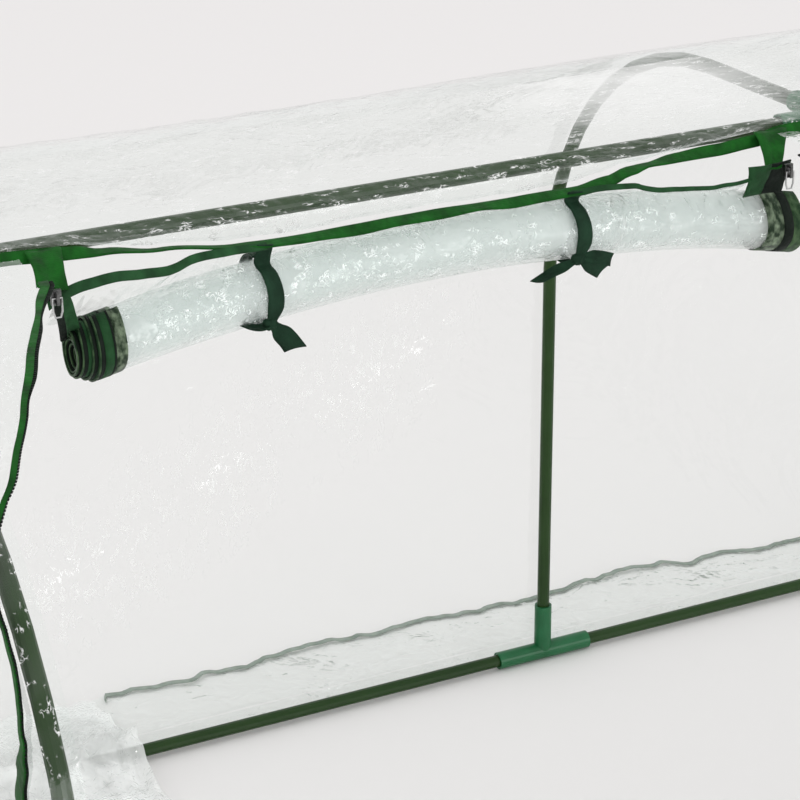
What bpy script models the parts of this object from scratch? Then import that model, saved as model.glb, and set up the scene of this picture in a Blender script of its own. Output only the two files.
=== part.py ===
"""Mini tunnel greenhouse: a plug-together tube frame under a clear film cover with two roll-up doors.

Metres, +Z up. X runs along the ridge, -Y is the front, the ground is Z = 0 and the origin is the
middle of the ground area. The doors are stored rolled up and tied under the ridge.
"""

import math

import bmesh
import bpy
from mathutils import Matrix, Vector

# ---------------------------------------------------------------- driving dimensions
HALF_LENGTH = 0.892          # end hoops' centre planes
HALF_WIDTH = 0.492           # legs' and base rails' centre lines
RIDGE_Z = 0.785              # ridge tube's centre line
ROOF_SLOPE = math.radians(1.6)
BEND_R = 0.300               # shoulder bend of a hoop

TUBE_R = 0.007
TUBE_WALL = 0.0008
CONNECTOR_R = 0.010
SOCKET_R = 0.0074
ARM = 0.0586                 # connector arm, centre to mouth
ARM_STEP = 0.00015           # each further arm is this much slimmer, so no two surfaces coincide
SOCKET_STOP = 0.016          # solid core left between the sockets
BASE_Z = CONNECTOR_R

FILM = 0.0005                # film thickness as built
FILM_OFFSET = 0.0110         # film's middle, outwards from the tubes' centre lines
GAP = 0.0004                 # left between neighbouring pieces
FILM_HALF_X = 0.9022         # where roof and walls stop beside the end panels
END_PANEL_X = 0.9030
HEADER_S = 0.0345            # header's front edge, measured down the roof from the ridge
BAND_WIDTH = 0.012
BAND_THICK = 0.0012
SILL_HEIGHT = 0.085
SKIRT_REACH = 0.624          # how far the ground skirts run, in Y
FLAP_INNER_X = 0.500         # inner edge of the end panels' spare film
FLAP_Z = 0.0236
TAPE_WIDTH = 0.016

DOOR_MIDDLE_X = 0.388
ROLL_HALF = 0.324
ROLL_R = 0.028
ROLL_Y = -0.040
ROLL_Z = 0.7455
ROLL_DROOP = 0.0325
ROLL_CORE = 0.012            # how far the inner turns stand out of each end
TIE_X = {"outer": 0.572, "inner": 0.296}
TIE_WIDTH = 0.013
APRON_Y = -0.0726
APRON_HALF = 0.312
APRON_LOW = 0.757
APRON_HIGH = 0.7890
PATCH_Y = -0.0746
PATCH_X = (0.100, 0.748)
PATCH_SIZE = (0.022, 0.001, 0.050)
SLIDER_Z = 0.7720

# ---------------------------------------------------------------- materials


def material(name, colour, roughness, metallic=0.0):
    """A Principled material with constant values."""
    new = bpy.data.materials.new(name)
    new.use_nodes = True
    shader = new.node_tree.nodes["Principled BSDF"]
    shader.inputs["Base Color"].default_value = (*colour, 1.0)
    shader.inputs["Roughness"].default_value = roughness
    shader.inputs["Metallic"].default_value = metallic
    return new


def make_materials():
    """One material for each kind of piece."""
    return {
        "tube": material("tube", (0.020, 0.055, 0.018), 0.32, 0.2),
        "connector": material("connector", (0.023, 0.216, 0.076), 0.35),
        "film": material("film", (0.780, 0.830, 0.800), 0.12),
        "binding": material("binding", (0.012, 0.230, 0.025), 0.60),
        "tape": material("tape", (0.012, 0.016, 0.014), 0.75),
        "tie": material("tie", (0.014, 0.050, 0.024), 0.80),
        "metal": material("metal", (0.620, 0.630, 0.620), 0.30, 1.0),
    }


# ---------------------------------------------------------------- scene and modelling helpers


def clear_scene():
    """Remove every object, so that the script starts from nothing."""
    for item in list(bpy.data.objects):
        bpy.data.objects.remove(item, do_unlink=True)


def collection(name):
    """A new collection under the scene's own."""
    new = bpy.data.collections.new(name)
    bpy.context.scene.collection.children.link(new)
    return new


def add(name, data, paint, group):
    """An object for a mesh or a curve, in its material and collection."""
    item = bpy.data.objects.new(name, data)
    data.materials.append(paint)
    group.objects.link(item)
    return item


def mesh_from(name, bm):
    """A mesh datablock from a bmesh, which is freed."""
    bmesh.ops.recalc_face_normals(bm, faces=bm.faces)
    mesh = bpy.data.meshes.new(name)
    bm.to_mesh(mesh)
    bm.free()
    return mesh


def curve_object(name, points, radius, paint, group, sides=3, cyclic=False, radii=None, caps=True):
    """A bevelled poly curve through the points."""
    curve = bpy.data.curves.new(name, "CURVE")
    curve.dimensions = "3D"
    curve.bevel_depth = radius
    curve.bevel_resolution = sides
    curve.use_fill_caps = caps
    curve.resolution_u = 1
    spline = curve.splines.new("POLY")
    spline.points.add(len(points) - 1)
    for index, place in enumerate(points):
        spline.points[index].co = (*place, 1.0)
        spline.points[index].radius = radii[index] if radii else 1.0
    spline.use_cyclic_u = cyclic
    return add(name, curve, paint, group)


def solidify(item, thickness, offset=0.0):
    """Give an open surface its thickness."""
    shell = item.modifiers.new("thickness", "SOLIDIFY")
    shell.thickness = thickness
    shell.offset = offset
    shell.use_even_offset = True
    return item


def tube(name, points, paint, group):
    """A hollow steel tube, open at both ends."""
    item = curve_object(name, points, TUBE_R, paint, group, sides=5, caps=False)
    return solidify(item, TUBE_WALL, -1.0)


def strip(name, rows, thickness, paint, group):
    """A sheet between two edges: each row is its (left, right) pair of points."""
    bm = bmesh.new()
    left = [bm.verts.new(pair[0]) for pair in rows]
    right = [bm.verts.new(pair[1]) for pair in rows]
    edges = [bm.edges.new(pair) for pair in zip(left[:-1], left[1:])]
    edges += [bm.edges.new(pair) for pair in zip(right[:-1], right[1:])]
    bmesh.ops.bridge_loops(bm, edges=edges)
    return solidify(add(name, mesh_from(name, bm), paint, group), thickness)


def outline(name, points, thickness, paint, group):
    """A flat plate of the given outline, in its own XY plane."""
    curve = bpy.data.curves.new(name, "CURVE")
    curve.dimensions = "2D"
    curve.fill_mode = "BOTH"
    curve.extrude = thickness / 2
    curve.resolution_u = 1
    spline = curve.splines.new("POLY")
    spline.points.add(len(points) - 1)
    for index, place in enumerate(points):
        spline.points[index].co = (*place, 0.0, 1.0)
    spline.use_cyclic_u = True
    return add(name, curve, paint, group)


def block(name, size, paint, group, place=(0.0, 0.0, 0.0)):
    """A box of the given size about the given place."""
    bm = bmesh.new()
    bmesh.ops.create_cube(bm, size=1.0, matrix=Matrix.Diagonal((*size, 1.0)))
    item = add(name, mesh_from(name, bm), paint, group)
    item.location = place
    return item


def rod(name, start, end, radius, paint, group, sides=24):
    """A solid cylinder from one point to another."""
    axis = Vector(end) - Vector(start)
    turn = axis.to_track_quat("Z", "Y").to_matrix().to_4x4()
    middle = Matrix.Translation((Vector(start) + Vector(end)) / 2)
    bm = bmesh.new()
    bmesh.ops.create_cone(bm, cap_ends=True, segments=sides, radius1=radius, radius2=radius,
                          depth=axis.length, matrix=middle @ turn)
    return add(name, mesh_from(name, bm), paint, group)


def combine(item, other, operation):
    """Join or cut one object by another with an exact boolean."""
    step = item.modifiers.new(operation.lower(), "BOOLEAN")
    step.operation = operation
    step.solver = "EXACT"
    step.object = other
    other.hide_render = True
    other.display_type = "WIRE"


# ---------------------------------------------------------------- the hoop's side profile


ROOF_RUN = BEND_R * (1 - math.sin(ROOF_SLOPE))
ROOF_LENGTH = (HALF_WIDTH - ROOF_RUN) / math.cos(ROOF_SLOPE)
BEND_ANGLE = math.pi / 2 - ROOF_SLOPE
BEND_LENGTH = BEND_R * BEND_ANGLE
LEG_TOP = RIDGE_Z - (HALF_WIDTH - ROOF_RUN) * math.tan(ROOF_SLOPE) - BEND_R * math.cos(ROOF_SLOPE)
PROFILE_LENGTH = ROOF_LENGTH + BEND_LENGTH + LEG_TOP


def profile(along, offset=0.0):
    """(distance from the middle plane, height) at a length down the hoop, moved outwards by offset."""
    if along < ROOF_LENGTH:
        out = along * math.cos(ROOF_SLOPE) + offset * math.sin(ROOF_SLOPE)
        return out, RIDGE_Z - along * math.sin(ROOF_SLOPE) + offset * math.cos(ROOF_SLOPE)
    if along < ROOF_LENGTH + BEND_LENGTH:
        turn = math.pi / 2 - ROOF_SLOPE - (along - ROOF_LENGTH) / BEND_R
        reach = BEND_R + offset
        return HALF_WIDTH - BEND_R + reach * math.cos(turn), LEG_TOP + reach * math.sin(turn)
    return HALF_WIDTH + offset, LEG_TOP - (along - ROOF_LENGTH - BEND_LENGTH)


def stations(start, end, bends=10):
    """Lengths along the profile from start to end, with even steps round the bend."""
    marks = [ROOF_LENGTH + BEND_LENGTH * step / bends for step in range(bends + 1)]
    return [start] + [mark for mark in marks if start + 0.002 < mark < end - 0.002] + [end]


def height_to_length(height):
    """Length down the profile where the straight leg reaches a height."""
    return PROFILE_LENGTH - height


# ---------------------------------------------------------------- frame


def half_hoop(name, x, side, paint, group):
    """One bent tube from a base connector to the ridge."""
    marks = stations(SOCKET_STOP + GAP, height_to_length(BASE_Z + SOCKET_STOP + GAP))
    points = []
    for mark in marks:
        out, height = profile(mark)
        points.append((x, side * out, height))
    tube(name, points, paint, group)


def connector(name, centre, arms, paint, group, cutters):
    """A moulded connector: one socket for each arm direction."""
    body = None
    for index, direction in enumerate(arms):
        axis = Vector(direction).normalized()
        start = centre - axis * CONNECTOR_R * 0.35
        mouth = centre + axis * ARM
        radius = CONNECTOR_R - index * ARM_STEP
        arm = rod(f"{name}_arm_{index}", start, mouth, radius, paint, cutters)
        if body is None:
            body = arm
            cutters.objects.unlink(arm)
            group.objects.link(arm)
            body.name = name
            body.data.name = name
        else:
            combine(body, arm, "UNION")
    for index, direction in enumerate(arms):
        axis = Vector(direction).normalized()
        bore = rod(f"{name}_bore_{index}", centre + axis * SOCKET_STOP, centre + axis * (ARM + 0.001),
                   SOCKET_R, paint, cutters)
        combine(body, bore, "DIFFERENCE")


def straight_tube(name, start, end, paint, group):
    """A straight tube between two connector centres, held at both socket stops."""
    axis = (Vector(end) - Vector(start)).normalized()
    inset = axis * (SOCKET_STOP + GAP)
    tube(name, [Vector(start) + inset, Vector(end) - inset], paint, group)


def make_frame(paints, group, cutters):
    """Hoops, ridge, base rails and their connectors."""
    steel, plastic = paints["tube"], paints["connector"]
    hoops = {"left": -HALF_LENGTH, "middle": 0.0, "right": HALF_LENGTH}
    sides = {"front": -1, "back": 1}
    for hoop, x in hoops.items():
        for side, sign in sides.items():
            half_hoop(f"hoop_{hoop}_{side}", x, sign, steel, group)
    slopes = [(0, sign * math.cos(ROOF_SLOPE), -math.sin(ROOF_SLOPE)) for sign in (-1, 1)]
    ridge = Vector((0, 0, RIDGE_Z))
    edge = Vector((HALF_LENGTH, 0, 0))
    connector("ridge_tee_left", ridge - edge, slopes + [(1, 0, 0)], plastic, group, cutters)
    connector("ridge_cross_middle", ridge, slopes + [(1, 0, 0), (-1, 0, 0)], plastic, group, cutters)
    connector("ridge_tee_right", ridge + edge, slopes + [(-1, 0, 0)], plastic, group, cutters)
    straight_tube("ridge_rail_left", ridge - edge, ridge, steel, group)
    straight_tube("ridge_rail_right", ridge, ridge + edge, steel, group)
    for side, sign in sides.items():
        foot = Vector((0, sign * HALF_WIDTH, BASE_Z))
        connector(f"base_tee_{side}", foot, [(1, 0, 0), (-1, 0, 0), (0, 0, 1)], plastic, group, cutters)
        straight_tube(f"base_rail_{side}_left", foot - edge, foot, steel, group)
        straight_tube(f"base_rail_{side}_right", foot, foot + edge, steel, group)
        for end, x_sign in (("left", -1), ("right", 1)):
            arms = [(-x_sign, 0, 0), (0, -sign, 0), (0, 0, 1)]
            connector(f"corner_{side}_{end}", foot + edge * x_sign, arms, plastic, group, cutters)
    for end, x in (("left", -HALF_LENGTH), ("right", HALF_LENGTH)):
        front = (x, -HALF_WIDTH, BASE_Z)
        back = (x, HALF_WIDTH, BASE_Z)
        straight_tube(f"base_rail_end_{end}", front, back, steel, group)


# ---------------------------------------------------------------- cover


def cover_rows(marks, side, edges):
    """Left and right points of a cover strip; edges gives its X limits at each length."""
    rows = []
    for mark in marks:
        out, height = profile(mark, FILM_OFFSET)
        low, high = edges(mark)
        rows.append(((low, side * out, height), (high, side * out, height)))
    return rows


def full_width(_mark):
    """X limits of a strip that spans the whole cover."""
    return -FILM_HALF_X, FILM_HALF_X


def ridge_rows():
    """The roof strip from the back bend, over the ridge, to the header's front edge."""
    back = cover_rows([ROOF_LENGTH - GAP, 0.004], 1, full_width)
    front = cover_rows([0.004, HEADER_S], -1, full_width)
    return back + front


def ground_rows(side, top):
    """A strip that stands on the ground line and turns outwards over the ground."""
    wall = HALF_WIDTH + FILM_OFFSET
    places = [(wall, top), (wall, FILM / 2), (SKIRT_REACH, FILM / 2)]
    return [((-FILM_HALF_X, side * y, z), (FILM_HALF_X, side * y, z)) for y, z in places]


def end_panel(name, x, paint, group):
    """The flat film panel that closes one end."""
    marks = stations(0.0, height_to_length(0.002))
    front = [profile(mark, FILM_OFFSET - FILM / 2 - GAP) for mark in marks]
    points = [(-out, height) for out, height in front]
    points += [(out, height) for out, height in reversed(front[1:])]
    panel = outline(name, points, FILM, paint, group)
    panel.location = (x, 0, 0)
    panel.rotation_euler = (math.pi / 2, 0, math.pi / 2)


def stringer_x(mark):
    """Distance from the middle plane of an outer zip's centre line, at a length down the roof."""
    bends = [(0.0, 0.757), (0.109, 0.768), (0.285, 0.845), (0.350, 0.879), (0.420, 0.8935), (9.0, 0.8935)]
    for (low, start), (high, end) in zip(bends, bends[1:]):
        if mark <= high:
            return start + (end - start) * (mark - low) / (high - low)
    return bends[-1][1]


def zip_marks():
    """Lengths down the roof where the zips have points."""
    sill = height_to_length(SILL_HEIGHT + GAP)
    start = HEADER_S + BAND_WIDTH + 2 * GAP
    bend = set(stations(start, sill)) | {0.109, 0.285, 0.350, 0.420}
    return sorted(bend)


def make_cover(paints, group):
    """Film panels, header band, skirts and the zips' fixed tapes."""
    film = paints["film"]
    strip("cover_roof", ridge_rows(), FILM, film, group)
    shoulder = stations(ROOF_LENGTH, ROOF_LENGTH + BEND_LENGTH)
    strip("cover_back_shoulder", cover_rows(shoulder, 1, full_width), FILM, film, group)
    wall = [ROOF_LENGTH + BEND_LENGTH + GAP, height_to_length(FLAP_Z + FILM / 2 + GAP)]
    strip("cover_back_wall", cover_rows(wall, 1, full_width), FILM, film, group)
    strip("skirt_back", ground_rows(1, FLAP_Z - FILM / 2 - GAP), FILM, film, group)
    strip("cover_front_sill", ground_rows(-1, SILL_HEIGHT), FILM, film, group)
    band = [HEADER_S + GAP, HEADER_S + GAP + BAND_WIDTH]
    strip("header_band", cover_rows(band, -1, full_width), BAND_THICK, paints["binding"], group)

    half_tape = TAPE_WIDTH / 2
    inner = PATCH_X[0]
    column_edge = inner - half_tape - GAP
    strip("cover_middle_column", cover_rows(zip_marks(), -1, lambda _m: (-column_edge, column_edge)),
          FILM, film, group)
    corner_marks = [mark for mark in zip_marks() if stringer_x(mark) + half_tape < FILM_HALF_X - 0.004]
    for end, sign in (("left", -1), ("right", 1)):
        end_panel(f"cover_end_{end}", sign * END_PANEL_X, film, group)

        def corner(mark, sign=sign):
            limits = sorted((sign * FILM_HALF_X, sign * (stringer_x(mark) + half_tape + GAP)))
            return tuple(limits)

        def outer_tape(mark, sign=sign):
            return sign * stringer_x(mark) - half_tape, sign * stringer_x(mark) + half_tape

        def inner_tape(_mark, sign=sign):
            return sign * inner - half_tape, sign * inner + half_tape

        strip(f"cover_corner_{end}", cover_rows(corner_marks, -1, corner), FILM, film, group)
        strip(f"zip_tape_{end}_outer", cover_rows(zip_marks(), -1, outer_tape), FILM, paints["tape"], group)
        strip(f"zip_tape_{end}_inner", cover_rows(zip_marks(), -1, inner_tape), FILM, paints["tape"], group)
        flap_size = (HALF_LENGTH - 0.013 - FLAP_INNER_X, SKIRT_REACH + 0.440, FILM)
        flap_x = sign * (FLAP_INNER_X + flap_size[0] / 2)
        flap_y = (SKIRT_REACH - 0.440) / 2
        block(f"end_flap_{end}", flap_size, film, group, (flap_x, flap_y, FLAP_Z))


# ---------------------------------------------------------------- doors, zips and ties


def roll_height(x):
    """Height of a roll's axis at an X, on the side of that X."""
    return ROLL_Z - ROLL_DROOP * ((abs(x) - DOOR_MIDDLE_X) / ROLL_HALF) ** 2


def door_roll(name, sign, paint, group):
    """The rolled-up door as one bowed solid whose inner turns stand out at the ends."""
    steps = 8
    middle = sign * DOOR_MIDDLE_X
    places = [middle - ROLL_HALF + 2 * ROLL_HALF * step / steps for step in range(steps + 1)]
    places = [places[0] - ROLL_CORE] + places + [places[-1] + ROLL_CORE]
    points = [(x, ROLL_Y, roll_height(x)) for x in places]
    radii = [0.4] + [1.0] * (steps + 1) + [0.4]
    curve_object(name, points, ROLL_R, paint, group, sides=5, radii=radii)


def tie(name, x, paints, group, cutters):
    """A ribbon round the roll, knotted in front, with its end running up to the header."""
    slope = -2 * ROLL_DROOP * (abs(x) - DOOR_MIDDLE_X) / ROLL_HALF ** 2 * math.copysign(1, x)
    turn = Matrix.Rotation(-math.atan(slope), 4, "Y") @ Matrix.Rotation(math.pi / 2, 4, "Y")
    bm = bmesh.new()
    ring_radius = ROLL_R + 0.0022
    bmesh.ops.create_cone(bm, cap_ends=False, segments=20, radius1=ring_radius, radius2=ring_radius,
                          depth=TIE_WIDTH, matrix=turn)
    band = add(name, mesh_from(name, bm), paints["tie"], group)
    band.location = (x, ROLL_Y, roll_height(x))
    solidify(band, 0.0014)
    height = roll_height(x)
    front = ROLL_Y - ring_radius
    riser_low = height + ring_radius * 0.93
    riser = block(f"{name}_riser", (TIE_WIDTH, 0.0012, APRON_HIGH - riser_low), paints["tie"], cutters,
                  (x, ROLL_Y - 0.010, (APRON_HIGH + riser_low) / 2))
    knot = block(f"{name}_knot", (0.012, 0.008, 0.012), paints["tie"], cutters,
                 (x, front - 0.003, height - 0.010))
    tails = [block(f"{name}_tail_{index}", (0.011, 0.0012, 0.042), paints["tie"], cutters,
                   (x + lean * 0.012, front - 0.0052, height - 0.028))
             for index, lean in enumerate((-1, 1))]
    for lean, tail in zip((-1, 1), tails):
        tail.rotation_euler = (0, -lean * math.radians(35), 0)
    for extra in [riser, knot] + tails:
        combine(band, extra, "UNION")


def slider(name, x, paint, group, cutters):
    """A zip slider with the bridge that its pull hangs from; its origin is the pull's axis."""
    axis_y = PATCH_Y - PATCH_SIZE[1] / 2 - 0.0048
    body = block(name, (0.008, 0.0026, 0.012), paint, group)
    body.location = (x, axis_y + 0.0030, SLIDER_Z)
    bridge = block(f"{name}_bridge", (0.0022, 0.0052, 0.0100), paint, cutters,
                   (x, axis_y, SLIDER_Z))
    window = block(f"{name}_window", (0.0040, 0.0034, 0.0064), paint, cutters,
                   (x, axis_y, SLIDER_Z))
    combine(body, bridge, "UNION")
    combine(body, window, "DIFFERENCE")
    return axis_y


def pull_ring(name, x, axis_y, paint, group):
    """A wire ring hanging through the slider's bridge."""
    half_width, length = 0.0036, 0.015
    corners = [(-half_width, 0.0), (half_width, 0.0), (half_width, -length * 0.7),
               (half_width * 0.6, -length), (-half_width * 0.6, -length), (-half_width, -length * 0.7)]
    points = [(x_off, 0.0, z_off) for x_off, z_off in corners]
    ring = curve_object(name, points, 0.0008, paint, group, sides=1, cyclic=True, caps=False)
    ring.location = (x, axis_y, SLIDER_Z)


def make_door(side, sign, paints, group, cutters):
    """One door: its apron, roll, ties, zip patches, sliders and pulls."""
    door_roll(f"door_roll_{side}", sign, paints["film"], group)
    block(f"door_apron_{side}", (2 * APRON_HALF, FILM, APRON_HIGH - APRON_LOW), paints["film"], group,
          (sign * (PATCH_X[0] + PATCH_X[1]) / 2, APRON_Y, (APRON_HIGH + APRON_LOW) / 2))
    for name, distance in TIE_X.items():
        tie(f"tie_{side}_{name}", sign * distance, paints, group, cutters)
    for name, distance in zip(("inner", "outer"), PATCH_X):
        x = sign * distance
        block(f"zip_patch_{side}_{name}", PATCH_SIZE, paints["binding"], group,
              (x, PATCH_Y, APRON_HIGH - PATCH_SIZE[2] / 2))
        axis_y = slider(f"zip_slider_{side}_{name}", x, paints["metal"], group, cutters)
        pull_ring(f"zip_pull_{side}_{name}", x, axis_y, paints["metal"], group)


def main():
    """Build the whole greenhouse."""
    clear_scene()
    paints = make_materials()
    group = collection("mini_greenhouse")
    cutters = collection("cutters")
    make_frame(paints, group, cutters)
    make_cover(paints, group)
    for side, sign in (("left", -1), ("right", 1)):
        make_door(side, sign, paints, group, cutters)


main()
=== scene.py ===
"""Looks of the mini tunnel greenhouse: creased film, sewn bindings, rolled doors, ties and zips."""

import math

import bmesh
import bpy
from mathutils import Matrix, Vector, noise


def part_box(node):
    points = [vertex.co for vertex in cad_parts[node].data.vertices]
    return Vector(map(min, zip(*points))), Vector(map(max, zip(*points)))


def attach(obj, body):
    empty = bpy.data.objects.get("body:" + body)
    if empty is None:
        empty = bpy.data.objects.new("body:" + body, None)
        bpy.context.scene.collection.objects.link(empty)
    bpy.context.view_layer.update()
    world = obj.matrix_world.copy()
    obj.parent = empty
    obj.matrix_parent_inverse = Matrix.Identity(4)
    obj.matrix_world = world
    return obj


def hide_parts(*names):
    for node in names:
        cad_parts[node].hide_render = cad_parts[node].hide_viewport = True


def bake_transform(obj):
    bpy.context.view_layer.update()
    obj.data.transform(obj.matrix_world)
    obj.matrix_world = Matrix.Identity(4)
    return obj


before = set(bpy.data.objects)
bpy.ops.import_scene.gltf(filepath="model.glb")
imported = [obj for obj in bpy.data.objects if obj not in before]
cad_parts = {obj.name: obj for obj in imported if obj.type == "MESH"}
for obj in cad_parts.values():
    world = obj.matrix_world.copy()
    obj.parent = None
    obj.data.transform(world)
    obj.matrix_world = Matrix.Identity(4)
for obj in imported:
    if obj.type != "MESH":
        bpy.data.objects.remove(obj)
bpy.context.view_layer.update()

# ---- the frame's own measures


def middle(node):
    """Centre of a CAD node's box."""
    low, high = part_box(node)
    return (low + high) / 2


HALF_LENGTH = middle("hoop_right_front").x
HALF_WIDTH = middle("base_rail_back_left").y
RIDGE_Z = middle("ridge_rail_left").z
ROOF_SLOPE = math.radians(1.6)
BEND_R = 0.3
FILM_OFFSET = 0.011  # from the tubes' centre lines out to the film
FILM_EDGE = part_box("cover_roof")[1].x
END_X = middle("cover_end_right").x
HEADER_S = 0.0345  # from the ridge to the header, along the roof
HEADER_WIDTH = 0.0108
HEM_WIDTH = 0.0066
SILL_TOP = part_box("cover_front_sill")[1].z
DOOR_X = 0.392
ROLL_HALF = 0.3194
ROLL_R = 0.028
ROLL_Y = middle("door_roll_right").y
ROLL_TOP_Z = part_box("door_roll_right")[1].z - ROLL_R
ROLL_DROOP = 0.0325
TIE_X = {side: {end: abs(middle(f"tie_{side}_{end}").x) for end in ("outer", "inner")}
         for side in ("left", "right")}
TIE_WIDTH = 0.0135
SIDES = (("left", -1), ("right", 1))
AWAY = {"outer": 1, "inner": -1}  # which side of a door is further from the middle plane

# ---- node helpers


class Paint:
    """A node material with its Principled shader, and short calls for the nodes that its pattern needs."""

    def __init__(self, name):
        self.material = bpy.data.materials.new(name)
        self.material.use_nodes = True
        self.tree = self.material.node_tree
        self.shader = self.tree.nodes["Principled BSDF"]
        self.output = self.tree.nodes["Material Output"]
        self.place = self.node("ShaderNodeTexCoord").outputs["Object"]

    def node(self, kind, **values):
        """A new node with some of its properties set."""
        new = self.tree.nodes.new(kind)
        for key, value in values.items():
            setattr(new, key, value)
        return new

    def link(self, source, target):
        """Join an output to an input."""
        self.tree.links.new(source, target)

    def set(self, **values):
        """Constant values on the Principled shader's own sockets."""
        for key, value in values.items():
            self.shader.inputs[key.replace("_", " ")].default_value = value

    def scaled(self, stretch):
        """Object coordinates multiplied by a vector."""
        new = self.node("ShaderNodeMapping")
        new.inputs["Scale"].default_value = stretch
        self.link(self.place, new.inputs["Vector"])
        return new.outputs["Vector"]

    def noise(self, scale, detail=3.0, stretch=(1, 1, 1), distortion=0.0):
        """A noise value."""
        new = self.node("ShaderNodeTexNoise")
        new.inputs["Scale"].default_value = scale
        new.inputs["Detail"].default_value = detail
        new.inputs["Distortion"].default_value = distortion
        self.link(self.scaled(stretch), new.inputs["Vector"])
        return new.outputs["Fac"]

    def wave(self, scale, direction, distortion):
        """Wavy bands along an axis."""
        new = self.node("ShaderNodeTexWave", bands_direction=direction)
        new.inputs["Scale"].default_value = scale
        new.inputs["Distortion"].default_value = distortion
        self.link(self.place, new.inputs["Vector"])
        return new.outputs["Fac"]

    def cells(self, scale, stretch):
        """Distance pattern of a Voronoi texture."""
        new = self.node("ShaderNodeTexVoronoi")
        new.inputs["Scale"].default_value = scale
        self.link(self.scaled(stretch), new.inputs["Vector"])
        return new.outputs["Distance"]

    def along(self, axis):
        """The object coordinate on an axis."""
        split = self.node("ShaderNodeSeparateXYZ")
        self.link(self.place, split.inputs[0])
        return split.outputs[axis]

    def math(self, operation, *values, clamp=False):
        """A Math node; each value is an output or a number."""
        new = self.node("ShaderNodeMath", operation=operation, use_clamp=clamp)
        for socket, value in zip(new.inputs, values):
            if isinstance(value, (int, float)):
                socket.default_value = value
            else:
                self.link(value, socket)
        return new.outputs[0]

    def times(self, first, second, clamp=False):
        """Product of two values."""
        return self.math("MULTIPLY", first, second, clamp=clamp)

    def minus(self, first, second, clamp=False):
        """Difference of two values."""
        return self.math("SUBTRACT", first, second, clamp=clamp)

    def apart(self, first, second):
        """Distance between two values."""
        return self.math("ABSOLUTE", self.minus(first, second))

    def ramp(self, value, dark, light, edge=0.3):
        """A colour ramp from dark to light, as the value goes from edge to 1 - edge."""
        new = self.node("ShaderNodeValToRGB")
        for element, position, colour in zip(new.color_ramp.elements, (edge, 1 - edge), (dark, light)):
            element.position = position
            element.color = (*colour, 1.0)
        self.link(value, new.inputs["Fac"])
        return new.outputs["Color"]

    def bump(self, height, distance, strength=1.0, under=None):
        """A bump normal from a height value."""
        new = self.node("ShaderNodeBump")
        new.inputs["Distance"].default_value = distance
        new.inputs["Strength"].default_value = strength
        self.link(height, new.inputs["Height"])
        if under is not None:
            self.link(under, new.inputs["Normal"])
        return new.outputs["Normal"]

    def plain(self, kind, colour):
        """A simple shader of one colour."""
        new = self.node(kind)
        new.inputs["Color"].default_value = (*colour, 1.0)
        return new.outputs[0]

    def mixed(self, share, first, second):
        """Two shaders mixed by the share of the second."""
        new = self.node("ShaderNodeMixShader")
        for socket, value in zip(new.inputs, (share, first, second)):
            self.link(value, socket)
        return new.outputs[0]

    def zone(self, start, end, half_width):
        """Nearness to the line between two points in X and Z: smooth, and with a broken edge. Both 0 to 1."""
        run = (Vector(end) - Vector(start)).normalized()
        across = self.math("ADD", self.times(self.along("X"), -run.y), self.times(self.along("Z"), run.x))
        offset = self.apart(across, run.x * start[1] - run.y * start[0])
        near = self.minus(1.0, self.times(offset, 1 / half_width), clamp=True)
        near = self.times(near, self.times(self.minus(end[0], self.along("X")), 12.0, clamp=True))
        broken = self.times(self.minus(self.noise(11.0), 0.4, clamp=True), 6.0, clamp=True)
        return near, self.times(near, broken)

    def feed(self, socket, value):
        """Join a pattern to one of the Principled shader's sockets."""
        self.link(value, self.shader.inputs[socket])


# ---- materials


def tube_paint():
    """Dark green powder coat on steel: faint orange peel, slight colour drift, satin gloss."""
    paint = Paint("tube_green")
    paint.feed("Base Color", paint.ramp(paint.noise(9.0, 4.0), (0.01, 0.034, 0.004), (0.018, 0.052, 0.009)))
    paint.feed("Roughness", paint.math("MULTIPLY_ADD", paint.noise(60.0, 2.0), 0.16, 0.24))
    paint.feed("Normal", paint.bump(paint.noise(60.0, 0.0), 0.0001, 0.5))
    paint.set(Specular_IOR_Level=0.26)
    return paint.material


def connector_paint():
    """Bright green moulded polypropylene: fine grain, soft gloss."""
    paint = Paint("connector_green")
    paint.feed("Base Color", paint.ramp(paint.noise(30.0, 4.0), (0.005, 0.096, 0.03), (0.012, 0.135, 0.048)))
    paint.feed("Normal", paint.bump(paint.noise(1400.0, 3.0), 0.00005, 0.7))
    paint.set(Roughness=0.36, Specular_IOR_Level=0.4)
    return paint.material


def painted_glint_lines(paint, size, stretch, rarity):
    """Short white lines painted into the film's milky veil as glints of light, 0 to 1; rarity goes from about
    0.45 to 0.60.
    """
    off_line = paint.apart(paint.noise(size, 1.5, stretch, 0.6), 0.5)
    lines = paint.minus(1.0, paint.times(off_line, 16.0), clamp=True)
    gaps = paint.minus(paint.noise(size * 0.45, 1.0, stretch), rarity, clamp=True)
    return paint.times(lines, paint.times(gaps, 12.0, clamp=True))


def scuffs(paint, x, y, radius):
    """A mottled disc, fullest in its middle, 0 to 1."""
    squares = [paint.math("POWER", paint.apart(paint.along(axis), centre), 2.0)
               for axis, centre in (("X", x), ("Y", y))]
    far = paint.times(paint.math("ADD", *squares), 1 / radius ** 2)
    disc = paint.times(paint.minus(1.0, far, clamp=True), 1.3)
    return paint.times(disc, paint.math("ADD", paint.noise(14.0, 4.0), 0.05), clamp=True)


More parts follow.
